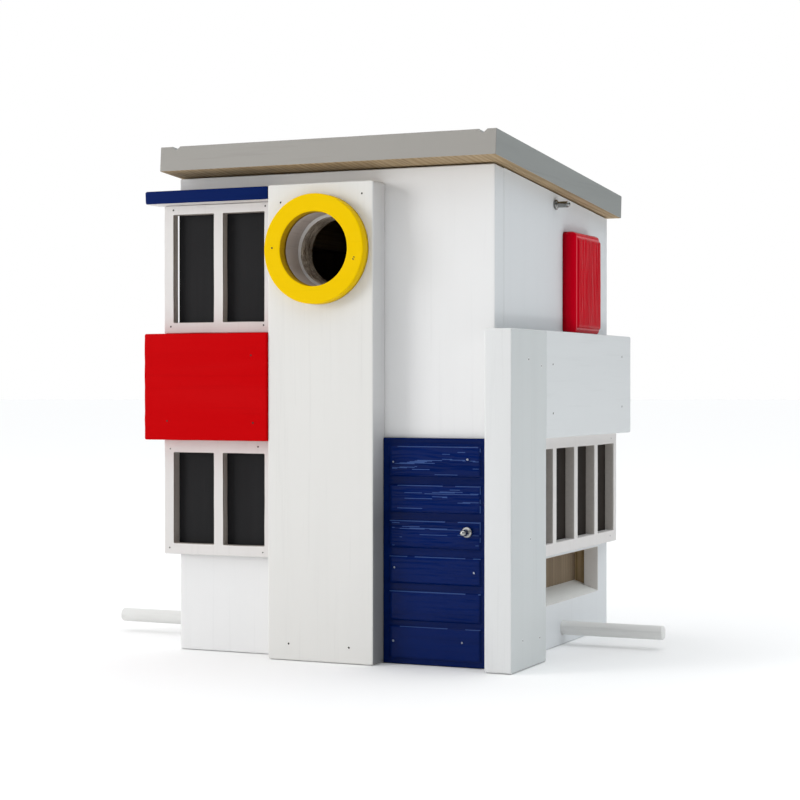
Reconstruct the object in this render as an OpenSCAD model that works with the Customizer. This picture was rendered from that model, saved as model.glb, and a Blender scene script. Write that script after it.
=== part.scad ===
// Nest box with feeding sides: a small modernist house on a flat underside.
// All sizes in millimetres. X runs left to right along the front, Y runs from
// front to back, Z is up. The origin is the middle of the body's underside.
// Inside the modules X and Y are counted from the body's lower left front
// corner, and home() moves each piece from there to the origin.

/* [Body] */
// Width of the body along the front
body_w = 172;      // [140:1:220]
// Depth of the body, front face to back face
body_d = 170;      // [140:1:220]
// Height of the front wall at its face
front_h = 240;     // [200:1:300]
// Height of the back wall at its outer face
back_h = 227;      // [180:1:290]
// Thickness of the front and back walls
wall_t = 12;       // [8:0.5:20]
// Thickness of the side walls
side_t = 8;        // [6:0.5:16]
// Thickness of the bottom board
floor_t = 10;      // [6:0.5:18]
// Thickness of each inner board beside a seed channel
inner_t = 8;       // [5:0.5:14]
// Clear width of a seed channel between side wall and inner board
channel_w = 6.5;   // [5:0.5:30]

/* [Entrance] */
// Bore through the front wall
entrance_d = 33;   // [26:0.5:45]
// Bore through the tall front board
pylon_bore_d = 37; // [28:0.5:50]
// Height of the entrance centre above the underside
entrance_z = 200;  // [150:1:230]
// Outer diameter of the ring
ring_od = 53.4;    // [44:0.2:70]
// Inner diameter of the ring
ring_id = 36;      // [28:0.2:50]
// Thickness of the ring
ring_t = 6.4;      // [3:0.2:12]

/* [Front boards] */
// Left edge of the tall front board
pylon_x = 58;      // [40:0.5:80]
// Width of the tall front board
pylon_w = 57;      // [40:0.5:80]
// Thickness of the stout outer boards
board_t = 14.2;    // [8:0.2:20]
// Height of the tall front board
pylon_h = 232.4;   // [180:0.2:240]
// Reach of the balcony board and canopy past the body on the left
overreach = 12;    // [0:0.5:30]
// Thickness of the balcony board on the front
balcony_t = 15.2;  // [8:0.2:22]
// Underside of the balcony board on the front
balcony_z = 106.8; // [80:0.2:130]
// Height of the balcony board on the front
balcony_h = 53.4;  // [30:0.2:80]
// Underside of the canopy board
canopy_z = 225.3;  // [200:0.1:232]
// Thickness of the canopy board
canopy_t = 6.6;    // [4:0.1:10]

/* [Windows] */
// Thickness of a window frame
frame_t = 4.6;     // [3:0.1:9]
// Thickness of the dark sheet behind a window frame
pane_t = 0.6;      // [0.4:0.1:2]
// Width of a window bar
bar_w = 5.4;       // [3:0.1:9]
// Underside of the lower windows
low_win_z = 48.6;  // [30:0.2:70]
// Underside of the upper window
up_win_z = 160.4;  // [140:0.2:180]

/* [Door] */
// Width of the false door
door_w = 55;       // [40:0.5:57]
// Height of the false door
door_h = 109;      // [90:0.5:130]
// Thickness of the false door without its fields
door_t = 2.8;      // [2:0.1:6]
// Rise of the door's fields
field_t = 1.2;     // [0.5:0.1:3]

/* [Right side] */
// Width of the corner post along the side
post_w = 47.6;     // [30:0.2:60]
// Height of the corner post
post_h = 160.8;    // [120:0.2:200]
// Thickness of the post and of the side balcony board
post_t = 13.8;     // [8:0.2:20]
// Underside of the side balcony board
side_balcony_z = 108.4; // [80:0.2:130]
// Height of the side balcony board
side_balcony_h = 52.6;  // [30:0.2:80]
// Front edge of the raised shutter
shutter_y = 96;    // [80:0.5:110]
// Width of the raised shutter
shutter_w = 41.2;  // [30:0.2:60]
// Height of the raised shutter
shutter_h = 53;    // [30:0.2:60]
// Thickness of the raised shutter
shutter_t = 7.8;   // [4:0.2:12]

/* [Feeding sides] */
// Front end of a feeding opening
feed_y0 = 40;      // [34:0.5:70]
// Back end of a feeding opening
feed_y1 = 154.3;   // [120:0.1:156]
// Lower edge of a feeding opening
feed_z0 = 22.4;    // [14:0.2:30]
// Upper edge of a feeding opening
feed_z1 = 46.3;    // [36:0.1:60]
// Rise of the sloped tray from its outer edge to the inner board
tray_rise = 4.9;   // [1:0.1:10]
// Diameter of a perch
perch_d = 7.2;     // [5:0.1:12]
// Height of a perch's axis
perch_z = 8.5;     // [6:0.1:20]
// Distance of the right perch behind the front face
perch_y_right = 97;     // [60:0.5:130]
// Reach of the right perch past the wall
perch_out_right = 54.2; // [30:0.2:80]
// Distance of the left perch behind the front face
perch_y_left = 54;      // [20:0.5:130]
// Reach of the left perch past the wall
perch_out_left = 67.6;  // [30:0.2:100]

/* [Roof] */
// Left edge of the roof
roof_x0 = -1.6;    // [-20:0.2:0]
// Width of the roof
roof_w = 180.6;    // [172:0.2:220]
// Overhang of the roof in front of the front wall
roof_front = 17;   // [5:0.5:40]
// Overhang of the roof behind the back wall
roof_back = 4;     // [0:0.5:20]
// Thickness of the roof board
roof_t = 12.4;     // [8:0.2:20]
// Width of a groove along the roof's side edges
groove_w = 4.4;    // [2:0.1:8]
// Depth of a groove along the roof's side edges
groove_d = 1.9;    // [0.5:0.1:4]

/* [Hidden] */
$fn = 64;
e = 0.01;
slope = (front_h - back_h) / body_d;
tilt = atan(slope);
inner_x = side_t + channel_w;
pin_y = 84.5;
pin_z = 226.8;
pin_d = 3.2;
gap = 0.2;

white = [0.886, 0.886, 0.886];
frame_white = [0.871, 0.855, 0.855];
dark = [0.15, 0.15, 0.152];
raw = [0.72, 0.62, 0.48];
inner_wood = [0.40, 0.34, 0.28];
grey = [0.62, 0.62, 0.605];
blue = [0.02, 0.08, 0.37];
red = [0.77, 0.01, 0.06];
yellow = [0.94, 0.78, 0.0];
steel = [0.6, 0.6, 0.6];
perch_white = [0.82, 0.81, 0.79];

// height of the roof plane's underside at a distance y behind the front face
function top_z(y) = front_h - slope * y;

// moves a piece from the body's corner to the middle of the underside
module home() {
    translate([-body_w / 2, -body_d / 2, 0]) children();
}

// a block with its top cut along the roof plane
module under_roof(x0, x1, y0, y1, z0, drop = 0.02) {
    translate([x0, 0, 0])
        rotate([90, 0, 90])
            linear_extrude(height = x1 - x0)
                polygon([[y0, z0], [y1, z0], [y1, top_z(y1) - drop], [y0, top_z(y0) - drop]]);
}

module front_wall() {
    color(white) home() difference() {
        under_roof(0, body_w, 0, wall_t, 0);
        translate([body_w / 2, -1, entrance_z]) rotate([-90, 0, 0])
            cylinder(d = entrance_d, h = wall_t + 2);
    }
}

module back_wall() {
    color(white) home() under_roof(side_t, body_w - side_t, body_d - wall_t, body_d, 0);
}

module side_wall(x0, perch_y) {
    difference() {
        under_roof(x0, x0 + side_t, wall_t, body_d, 0);
        translate([x0 - 1, feed_y0, feed_z0])
            cube([side_t + 2, feed_y1 - feed_y0, feed_z1 - feed_z0]);
        translate([x0 - 1, perch_y, perch_z]) rotate([0, 90, 0])
            cylinder(d = perch_d, h = side_t + 2);
    }
}

module left_wall() {
    color(white) home() side_wall(0, perch_y_left);
}

module right_wall() {
    color(white) home() difference() {
        side_wall(body_w - side_t, perch_y_right);
        translate([body_w - side_t - 1, pin_y, pin_z]) rotate([0, 90, 0])
            cylinder(d = pin_d + 0.4, h = side_t + 2);
    }
}

module floor_board() {
    color(raw) home() difference() {
        translate([side_t, wall_t, 0])
            cube([body_w - 2 * side_t, body_d - 2 * wall_t, floor_t + 4]);
        translate([side_t - 1, perch_y_left, perch_z]) rotate([0, 90, 0])
            cylinder(d = perch_d, h = 13);
        translate([body_w - side_t - 12, perch_y_right, perch_z]) rotate([0, 90, 0])
            cylinder(d = perch_d, h = 13);
    }
}

module inner_board_left() {
    color(inner_wood) home() under_roof(inner_x, inner_x + inner_t, wall_t, body_d - wall_t, floor_t + 4, gap);
}

module inner_board_right() {
    color(inner_wood) home() difference() {
        under_roof(body_w - inner_x - inner_t, body_w - inner_x, wall_t, body_d - wall_t, floor_t + 4, gap);
        translate([body_w - inner_x - inner_t - 1, pin_y, pin_z]) rotate([0, 90, 0])
            cylinder(d = pin_d + 0.4, h = inner_t + 2);
    }
}

// a strip with a sloped top that fills the channel's foot and runs out to the wall's face
module tray_right() {
    translate([0, wall_t, 0]) rotate([-90, 0, 0]) mirror([0, 1, 0])
        linear_extrude(height = body_d - 2 * wall_t)
            polygon([[body_w - side_t, floor_t + 4], [body_w - inner_x, floor_t + 4],
                     [body_w - inner_x, feed_z0 + tray_rise],
                     [body_w - side_t, feed_z0 + tray_rise * side_t / inner_x]]);
    translate([0, feed_y0, 0]) rotate([-90, 0, 0]) mirror([0, 1, 0])
        linear_extrude(height = feed_y1 - feed_y0)
            polygon([[body_w - side_t - 1, feed_z0], [body_w, feed_z0],
                     [body_w - side_t - 1, feed_z0 + tray_rise * (side_t + 1) / inner_x]]);
}

module seed_tray_right() {
    color(white) home() tray_right();
}

module seed_tray_left() {
    color(white) home() translate([body_w, 0, 0]) mirror([1, 0, 0]) tray_right();
}

module pylon() {
    color(white) home() difference() {
        translate([pylon_x, -board_t, 0]) cube([pylon_w, board_t, pylon_h]);
        translate([body_w / 2, -board_t - 1, entrance_z]) rotate([-90, 0, 0])
            cylinder(d = pylon_bore_d, h = board_t + 2);
    }
}

module entrance_ring() {
    color(yellow) home() translate([body_w / 2, -board_t, entrance_z]) rotate([90, 0, 0])
        difference() {
            cylinder(d = ring_od, h = ring_t);
            translate([0, 0, -1]) cylinder(d = ring_id, h = ring_t + 2);
        }
}

module canopy() {
    color(blue) home() translate([-overreach, -board_t, canopy_z])
        cube([pylon_x + overreach, board_t, canopy_t]);
}

// a frame with two lights, standing in the XZ plane, face towards -Y
module front_frame(z0, z1, low_rail, top_rail) {
    x0 = -6.3;
    difference() {
        translate([x0, -pane_t - frame_t, z0]) cube([pylon_x - x0, frame_t, z1 - z0]);
        translate([-0.6, -pane_t - frame_t - 1, z0 + low_rail])
            cube([23.2, frame_t + 2, z1 - z0 - low_rail - top_rail]);
        translate([28, -pane_t - frame_t - 1, z0 + low_rail])
            cube([23.3, frame_t + 2, z1 - z0 - low_rail - top_rail]);
    }
}

module upper_window() {
    color(frame_white) home() front_frame(up_win_z, canopy_z, 5.6, 4.9);
}

module upper_window_backing() {
    color(dark) home() translate([0, -pane_t, up_win_z]) cube([pylon_x, pane_t, canopy_z - up_win_z]);
}

module balcony_front() {
    color(red) home() translate([-overreach, -balcony_t, balcony_z])
        cube([pylon_x + overreach, balcony_t, balcony_h]);
}

module lower_window() {
    color(frame_white) home() front_frame(low_win_z, balcony_z, 5.7, 6.6);
}

module lower_window_backing() {
    color(dark) home() translate([0, -pane_t, low_win_z]) cube([pylon_x, pane_t, balcony_z - low_win_z]);
}

// a raised field w by h in X and Y, rising t along Z, with sloped edges b wide
module field(w, h, t, b) {
    intersection() {
        rotate([90, 0, 0]) translate([0, 0, -h])
            linear_extrude(height = h) polygon([[0, 0], [w, 0], [w - b, t], [b, t]]);
        rotate([90, 0, 90])
            linear_extrude(height = w) polygon([[0, 0], [h, 0], [h - b, t], [b, t]]);
    }
}

// lower edge and height of each of the door's fields
door_rows = [[2.7, 15.8], [21.1, 14.3], [39, 13.3], [56.1, 13.3], [73.1, 13.4], [90.4, 14.8]];

module door() {
    color(blue) home() {
        translate([pylon_x + pylon_w, -door_t, 0]) cube([door_w, door_t, door_h]);
        for (r = door_rows)
            translate([pylon_x + pylon_w + 3.6, -door_t, r[0]]) rotate([90, 0, 0])
                field(door_w - 7.4, r[1], field_t, 1.1);
    }
}

// collar and round-nosed stud, axis along +Z, collar from z 0
module stud(len) {
    cylinder(d = 5.2, h = 1.4);
    cylinder(d = pin_d, h = len - pin_d / 2);
    translate([0, 0, len - pin_d / 2]) sphere(d = pin_d, $fn = 32);
}

module door_knob() {
    color(steel) home() translate([159.5, -door_t - field_t, 64.5]) rotate([90, 0, 0]) stud(7);
}

module corner_post() {
    color(white) home() translate([body_w, -board_t, 0]) cube([post_t, post_w, post_h]);
}

module balcony_side() {
    color(white) home() translate([body_w, -board_t + post_w, side_balcony_z])
        cube([post_t, body_d + board_t - post_w, side_balcony_h]);
}

module side_window() {
    y0 = -board_t + post_w;
    z0 = low_win_z;
    z1 = side_balcony_z;
    lights = [38.3, 71.2, 104.2, 137.3];
    color(frame_white) home() difference() {
        translate([body_w + pane_t, y0, z0]) cube([frame_t + 0.4, body_d - y0, z1 - z0]);
        for (y = lights)
            translate([body_w + pane_t - 1, y, z0 + 6.2])
                cube([frame_t + 3, 27.5, z1 - z0 - 6.2 - 6.1]);
    }
}

module side_window_backing() {
    y0 = -board_t + post_w;
    color(dark) home() translate([body_w, y0, low_win_z]) cube([pane_t, body_d - y0, side_balcony_z - low_win_z]);
}

module shutter() {
    z0 = side_balcony_z + side_balcony_h;
    base_t = shutter_t * 0.52;
    r = 2;
    color(red) home() {
        translate([body_w, shutter_y, z0]) rotate([90, 0, 90])
            linear_extrude(height = base_t) {
                translate([r, 0]) square([shutter_w - 2 * r, shutter_h]);
                translate([0, r]) square([shutter_w, shutter_h - 2 * r]);
                for (a = [r, shutter_w - r], b = [r, shutter_h - r])
                    translate([a, b]) circle(r = r);
            }
        translate([body_w + base_t - e, shutter_y + 2.1, z0 + 2.1]) rotate([90, 0, 90])
            field(shutter_w - 4.2, shutter_h - 4.2, shutter_t - base_t + e, 1.5);
    }
}

module perch_right() {
    color(perch_white) home() translate([body_w - side_t - 11, perch_y_right, perch_z]) rotate([0, 90, 0])
        cylinder(d = perch_d, h = perch_out_right + side_t + 11);
}

module perch_left() {
    color(perch_white) home() translate([-perch_out_left, perch_y_left, perch_z]) rotate([0, 90, 0])
        cylinder(d = perch_d, h = perch_out_left + side_t + 11);
}

// the roof lies on the wall tops; its side edges carry one groove each
module roof_board() {
    len = (body_d + roof_front + roof_back) / cos(tilt);
    color(grey) home()
        translate([roof_x0, -roof_front, top_z(-roof_front)]) rotate([-tilt, 0, 0])
            rotate([90, 0, 90]) rotate([0, 0, 0]) {
                translate([0, 0, 0]) roof_body(len);
            }
}

module roof_body(len) {
    difference() {
        linear_extrude(height = roof_w)
            polygon([[0, 0], [len, 0], [len, roof_t - 1.2], [len - 1.2, roof_t], [0, roof_t]]);
        for (x = [9, roof_w - 6.8])
            translate([-1, roof_t, x]) rotate([0, 90, 0])
                linear_extrude(height = len + 2)
                    polygon([[groove_w / 2, e], [-groove_w / 2, e], [0, -groove_d]]);
    }
}

// strips on the roof's underside that hold it in place between the inner boards
module cleat(x0) {
    under_roof(x0, x0 + 9, wall_t + 8, body_d - wall_t - 8, top_z(body_d) - 18);
}

module roof_cleat_left() {
    color(raw) home() cleat(inner_x + inner_t + 1.5);
}

module roof_cleat_right() {
    color(raw) home() difference() {
        cleat(body_w - inner_x - inner_t - 1.5 - 9);
        // slot for the locking pin, open below
        translate([body_w - inner_x - inner_t - 12, pin_y - 2, top_z(body_d) - 20])
            cube([12, 4, pin_z + 2 - top_z(body_d) + 20]);
    }
}

module roof_pin() {
    color(steel) home() {
        translate([body_w, pin_y, pin_z]) rotate([0, 90, 0]) stud(8.2);
        translate([body_w - inner_x - inner_t - 8, pin_y, pin_z]) rotate([0, 90, 0])
            cylinder(d = pin_d, h = inner_x + inner_t + 8 + 1);
    }
}

front_wall();
back_wall();
left_wall();
right_wall();
floor_board();
inner_board_left();
inner_board_right();
seed_tray_left();
seed_tray_right();
pylon();
entrance_ring();
canopy();
upper_window();
upper_window_backing();
balcony_front();
lower_window();
lower_window_backing();
door();
door_knob();
corner_post();
balcony_side();
side_window();
side_window_backing();
shutter();
perch_left();
perch_right();
roof_board();
roof_cleat_left();
roof_cleat_right();
roof_pin();
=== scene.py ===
"""Looks of the house-shaped nest box: finishes, nails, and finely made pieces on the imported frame."""

import math
import random

import bmesh
import bpy
from mathutils import Matrix, Vector, noise


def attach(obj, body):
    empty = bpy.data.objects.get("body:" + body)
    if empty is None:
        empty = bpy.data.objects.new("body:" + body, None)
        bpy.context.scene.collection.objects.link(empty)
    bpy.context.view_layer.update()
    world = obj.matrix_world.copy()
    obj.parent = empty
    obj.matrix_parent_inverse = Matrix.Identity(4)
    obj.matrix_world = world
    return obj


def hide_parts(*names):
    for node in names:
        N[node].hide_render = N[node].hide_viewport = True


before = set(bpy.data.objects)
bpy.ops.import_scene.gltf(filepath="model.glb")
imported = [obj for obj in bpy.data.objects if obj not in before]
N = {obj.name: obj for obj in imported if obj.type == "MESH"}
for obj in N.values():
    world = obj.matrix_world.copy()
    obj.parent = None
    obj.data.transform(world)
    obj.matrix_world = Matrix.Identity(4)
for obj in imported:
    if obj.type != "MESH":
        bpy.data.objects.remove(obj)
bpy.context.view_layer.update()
scene = bpy.context.scene
MM = 0.001

# ---------------------------------------------------------------- camera

F_PX, W_PX = 1926.2, 800
YAW, PITCH = 0.42121, -0.0069
cam_data = bpy.data.cameras.new("camera")
cam = bpy.data.objects.new("camera", cam_data)
scene.collection.objects.link(cam)
cam_data.sensor_width = 36.0
cam_data.lens = F_PX / W_PX * 36.0
cam_data.clip_start, cam_data.clip_end = 0.05, 20
look = Vector(
    (-math.sin(YAW) * math.cos(PITCH), math.cos(YAW) * math.cos(PITCH), math.sin(PITCH))
)
cam.location = (0.41738, -0.93457, 0.13354)
cam.rotation_mode = "QUATERNION"
cam.rotation_quaternion = look.to_track_quat("-Z", "Y")
scene.camera = cam

# ---------------------------------------------------------------- materials


def lin(c):
    """sRGB 0-1 triple or hex string to linear."""
    if isinstance(c, str):
        c = [int(c[i : i + 2], 16) / 255 for i in (0, 2, 4)]
    return [x / 12.92 if x <= 0.04045 else ((x + 0.055) / 1.055) ** 2.4 for x in c]


class Mat:
    """A small wrapper that builds a node tree."""

    def __init__(self, name):
        self.m = bpy.data.materials.new(name)
        self.m.use_nodes = True
        self.t = self.m.node_tree
        self.t.nodes.clear()
        self.out = self.node("ShaderNodeOutputMaterial")
        self.b = self.node("ShaderNodeBsdfPrincipled")
        self.link(self.b.outputs["BSDF"], self.out.inputs["Surface"])
        self.co = self.node("ShaderNodeTexCoord").outputs["Object"]

    def node(self, kind, **kw):
        n = self.t.nodes.new(kind)
        for k, v in kw.items():
            setattr(n, k, v)
        return n

    def link(self, a, b):
        self.t.links.new(a, b)

    def scaled(self, s, loc=(0, 0, 0), rot=(0, 0, 0)):
        n = self.node("ShaderNodeMapping")
        n.inputs["Scale"].default_value = s
        n.inputs["Location"].default_value = loc
        n.inputs["Rotation"].default_value = rot
        self.link(self.co, n.inputs["Vector"])
        return n.outputs["Vector"]

    def noise(self, vec, scale, detail=4, rough=0.55, dist=0.0):
        n = self.node("ShaderNodeTexNoise")
        n.inputs["Scale"].default_value = scale
        n.inputs["Detail"].default_value = detail
        n.inputs["Roughness"].default_value = rough
        n.inputs["Distortion"].default_value = dist
        self.link(vec, n.inputs["Vector"])
        return n.outputs["Fac"]

    def ramp(self, fac, stops, mode="LINEAR"):
        n = self.node("ShaderNodeValToRGB")
        n.color_ramp.interpolation = mode
        e = n.color_ramp.elements
        while len(e) < len(stops):
            e.new(0.5)
        for i, (p, c) in enumerate(stops):
            e[i].position = p
            if isinstance(c, (int, float)):
                c = (c, c, c)
            e[i].color = (*c[:3], 1)
        self.link(fac, n.inputs["Fac"])
        return n.outputs["Color"]

    def math(self, op, a, b=None, clamp=False):
        n = self.node("ShaderNodeMath", operation=op, use_clamp=clamp)
        for i, v in enumerate((a, b)):
            if v is None:
                continue
            if isinstance(v, (int, float)):
                n.inputs[i].default_value = v
            else:
                self.link(v, n.inputs[i])
        return n.outputs[0]

    def mix(self, fac, a, b, mode="MIX"):
        n = self.node("ShaderNodeMix", data_type="RGBA", blend_type=mode)
        n.clamp_factor = True
        for s, v in ((0, fac), (6, a), (7, b)):
            if isinstance(v, (int, float)):
                n.inputs[s].default_value = v
            elif isinstance(v, (tuple, list)):
                n.inputs[s].default_value = (*v[:3], 1)
            else:
                self.link(v, n.inputs[s])
        return n.outputs[2]

    def bump(self, height, strength=0.3, distance=0.0004, normal=None):
        n = self.node("ShaderNodeBump")
        n.inputs["Strength"].default_value = strength
        n.inputs["Distance"].default_value = distance
        self.link(height, n.inputs["Height"])
        if normal is not None:
            self.link(normal, n.inputs["Normal"])
        return n.outputs["Normal"]

    def sep(self, vec):
        n = self.node("ShaderNodeSeparateXYZ")
        self.link(vec, n.inputs[0])
        return n.outputs


def grain_scale(axis, along, across):
    s = [across] * 3
    s["XYZ".index(axis)] = along
    return tuple(s)


def painted(name, colour, grain="Z", rough=0.45, grain_amt=0.25, tone=0.06, seed=0.0, spec=0.45, painted_shade=None, ior=None):
    """Wood under a coat of satin paint: faint grain, brush marks, slight colour drift, soft dirt. An optional band
    along one object axis (axis, from, to, amount) is painted shade: the colour darkens by amount towards the second
    position.
    """
    m = Mat(name)
    c = lin(colour)
    fine = m.noise(m.scaled(grain_scale(grain, 12, 420), (seed, seed * 2, seed)), 1.0, 5, 0.6)
    broad = m.noise(m.scaled(grain_scale(grain, 5, 90), (seed * 3, seed, 1)), 1.0, 4, 0.55, 0.4)
    cloud = m.noise(m.scaled((14, 14, 14), (seed, 1, seed)), 1.0, 3, 0.5)
    speck = m.noise(m.scaled((900, 900, 900)), 1.0, 2, 0.5)
    dark = [x * (1 - tone * 2.2) for x in c]
    light = [min(1, x * (1 + tone * 0.6) + 0.002) for x in c]
    a = m.ramp(broad, [(0.28, dark), (0.5, c), (0.78, light)])
    b = m.mix(m.ramp(cloud, [(0.35, 0.0), (0.7, 1.0)]), a, [x * (1 - tone) for x in c])
    b = m.mix(0.5, a, b)
    pores = m.ramp(fine, [(0.30, 0.55), (0.42, 1.0)])
    b = m.mix(min(1.0, 0.3 * grain_amt * 2), b, pores, "MULTIPLY")
    m.link(b, m.b.inputs["Base Color"])
    r = m.ramp(m.math("ADD", m.math("MULTIPLY", cloud, 0.6), m.math("MULTIPLY", fine, 0.4)),
               [(0.3, rough - 0.07), (0.7, rough + 0.09)])
    m.link(r, m.b.inputs["Roughness"])
    m.b.inputs["Specular IOR Level"].default_value = spec
    h = m.math("ADD", m.math("MULTIPLY", fine, 0.6), m.math("MULTIPLY", broad, 0.8))
    h = m.math("ADD", h, m.math("MULTIPLY", speck, 0.25))
    m.link(m.bump(h, 0.55 * grain_amt * 2, 0.00035), m.b.inputs["Normal"])
    # Painted shade: the base colour is darkened towards the far end of a band along one axis.
    if painted_shade:
        axis, lo, hi = painted_shade[:3]
        n = m.node("ShaderNodeMapRange", clamp=True)
        m.link(m.sep(m.co)["XYZ".index(axis)], n.inputs["Value"])
        for k, v in (("From Min", lo), ("From Max", hi), ("To Min", 0.0), ("To Max", 1.0)):
            n.inputs[k].default_value = v
        m.link(m.mix(n.outputs["Result"], b, m.mix(painted_shade[3] if len(painted_shade) > 3 else 0.4, b, (0, 0, 0))), m.b.inputs["Base Color"])
    if ior:
        m.b.inputs["IOR"].default_value = ior
    return m.m


def bare(name, light, dark, grain="Y", seed=0.0, rough=0.8, sawn=0.6):
    """Bare softwood with year rings and saw marks."""
    m = Mat(name)
    s = list(grain_scale(grain, 2.2, 60))
    warp = m.noise(m.scaled((18, 18, 18), (seed, 0, seed)), 1.0, 3, 0.5)
    w = m.node("ShaderNodeTexWave", wave_type="BANDS", bands_direction="X" if grain != "X" else "Y")
    w.inputs["Scale"].default_value = 1.6
    w.inputs["Distortion"].default_value = 7.0
    w.inputs["Detail"].default_value = 3.0
    w.inputs["Detail Scale"].default_value = 1.2
    m.link(m.scaled(tuple(s), (seed, seed, 0)), w.inputs["Vector"])
    fibre = m.noise(m.scaled(grain_scale(grain, 14, 700), (seed, 2, 0)), 1.0, 5, 0.65)
    col = m.ramp(w.outputs["Fac"], [(0.1, lin(light)), (0.75, [0.5 * (a + b) for a, b in zip(lin(light), lin(dark))]), (0.95, lin(dark))])
    col = m.mix(m.ramp(warp, [(0.35, 0.0), (0.75, 0.5)]), col, lin(dark))
    col = m.mix(0.45, col, m.ramp(fibre, [(0.3, 0.5), (0.55, 1.0)]), "MULTIPLY")
    m.link(col, m.b.inputs["Base Color"])
    m.b.inputs["Roughness"].default_value = rough
    m.b.inputs["Specular IOR Level"].default_value = 0.2
    h = m.math("ADD", fibre, m.math("MULTIPLY", w.outputs["Fac"], 0.3))
    m.link(m.bump(h, sawn, 0.0006), m.b.inputs["Normal"])
    return m.m


def metal(name, colour="B4B2AE", rough=0.32):
    m = Mat(name)
    c = lin(colour)
    n1 = m.noise(m.scaled((300, 300, 2600)), 1.0, 3, 0.6)
    n2 = m.noise(m.scaled((160, 160, 160)), 1.0, 4, 0.6)
    m.link(m.ramp(n2, [(0.3, [x * 0.72 for x in c]), (0.65, c)]), m.b.inputs["Base Color"])
    m.b.inputs["Metallic"].default_value = 1.0
    m.link(m.ramp(n1, [(0.3, rough - 0.08), (0.7, rough + 0.12)]), m.b.inputs["Roughness"])
    m.link(m.bump(n1, 0.12, 0.0001), m.b.inputs["Normal"])
    return m.m


def two(name, outer, inner, axis, edge, width, wobble, seed=0.0, rough=0.55, spec=0.25):
    """One surface in two tones that change at a wavy line along an axis (metres in object space)."""
    m = Mat(name)
    wave = m.noise(m.scaled((160, 160, 160), (seed, 0, seed)), 1.0, 3, 0.6)
    fine = m.noise(m.scaled((700, 700, 700), (seed, 1, 0)), 1.0, 4, 0.6)
    pos = m.sep(m.co)["XYZ".index(axis)]
    pos = m.math("ADD", pos, m.math("MULTIPLY", m.math("SUBTRACT", wave, 0.5), wobble))
    n = m.node("ShaderNodeMapRange", clamp=True)
    m.link(pos, n.inputs["Value"])
    n.inputs["From Min"].default_value = edge - width
    n.inputs["From Max"].default_value = edge + width
    co, ci = lin(outer), lin(inner)
    a = m.ramp(fine, [(0.3, [x * 0.94 for x in co]), (0.6, co)])
    b = m.ramp(fine, [(0.3, [x * 0.90 for x in ci]), (0.65, ci)])
    m.link(m.mix(n.outputs["Result"], b, a), m.b.inputs["Base Color"])
    m.b.inputs["Roughness"].default_value = rough
    m.b.inputs["Specular IOR Level"].default_value = spec
    m.link(m.bump(fine, 0.15, 0.0002), m.b.inputs["Normal"])
    return m.m


def torn(name, light, dark, seed=0.0):
    """Rough torn end grain inside a drilled hole."""
    m = Mat(name)
    streak = m.noise(m.scaled((130, 2300, 130), (seed, seed, 0)), 1.0, 5, 0.7, 0.5)
    blot = m.noise(m.scaled((170, 170, 170), (seed, 2, 0)), 1.0, 4, 0.6)
    col = m.ramp(streak, [(0.36, lin(dark)), (0.52, [0.5 * (p + q) for p, q in zip(lin(light), lin(dark))]), (0.66, lin(light))])
    col = m.mix(m.ramp(blot, [(0.38, 0.55), (0.56, 0.0)]), col, lin(dark))
    m.link(col, m.b.inputs["Base Color"])
    m.b.inputs["Roughness"].default_value = 0.9
    m.b.inputs["Specular IOR Level"].default_value = 0.12
    m.link(m.bump(streak, 0.9, 0.0012), m.b.inputs["Normal"])
    return m.m


WHITE_Z = painted("white_vertical", "E7E7E7", "Z", 0.55, 0.10, 0.005, 1.3, 0.25)
WHITE_Y = painted("white_depth", "E2E3E3", "Y", 0.55, 0.16, 0.014, 2.9, 0.25)
# Painted light: a lighter copy of the white paint for the seed trays, which sit in shade.
TRAY_LIT = painted("tray_paint_painted_light", "F1F2EF", "Y", 0.6, 0.2, 0.02, 2.2, 0.2)
# Painted shade: a darker, cooler copy of the white paint for the side walls.
SIDE_SHADE_Z = painted("white_side_painted_shade", "DADDDF", "Z", 0.55, 0.10, 0.006, 3.7, 0.25)
PYLON = painted("white_board", "DFDEDB", "Z", 0.5, 0.14, 0.012, 4.1, 0.25)
POST = painted("white_post", "DEDFDF", "Z", 0.5, 0.12, 0.010, 6.7, 0.25)
# Painted shade: a darker, cooler copy of the white paint for the balcony's side board.
BALC_SHADE = painted("white_balcony_painted_shade", "D7DADB", "Y", 0.5, 0.14, 0.012, 8.2, 0.25)
FRAME_Z = painted("frame_white", "DCD9D7", "Z", 0.5, 0.16, 0.02, 3.3, 0.25)
# Painted shade: the window frames' reveals are a grey copy of the white frame paint, darker again further in.
REVEAL_F_SHADE = two("frame_reveal_front_painted_shade", "A29B94", "8F8982", "Y", -0.0894, 0.0005, -0.0004, 1.7)
REVEAL_S_SHADE = two("frame_reveal_side_painted_shade", "BEB9B4", "B2ACA6", "X", 0.0910, 0.0004, 0.0006, 4.2)
REVEAL_W = painted("slot_reveal", "D6D2CE", "Y", 0.6, 0.3, 0.04, 6.1, 0.2)
DARK_S = painted("dark_backing_side", "2B2521", "Z", 0.6, 0.3, 0.25, 8.5, 0.14)
DARK = painted("dark_backing", "1B1B1D", "Z", 0.6, 0.3, 0.12, 5.5, 0.14)
# Painted light and shade: the roof's ends wear a lighter, warmer copy of the grey, its top and sides a darker, cooler
# copy.
GREY_SHADE = painted("roof_grey_painted_shade", "939694", "Y", 0.6, 0.3, 0.03, 7.7, 0.2)
GREY_X_LIT = painted("roof_grey_front_painted_light", "9E9B96", "X", 0.6, 0.3, 0.03, 4.9, 0.2)
BLUE_X = painted("blue_canopy", "001B56", "X", 0.35, 0.35, 0.12, 9.1, 0.04)
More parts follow.
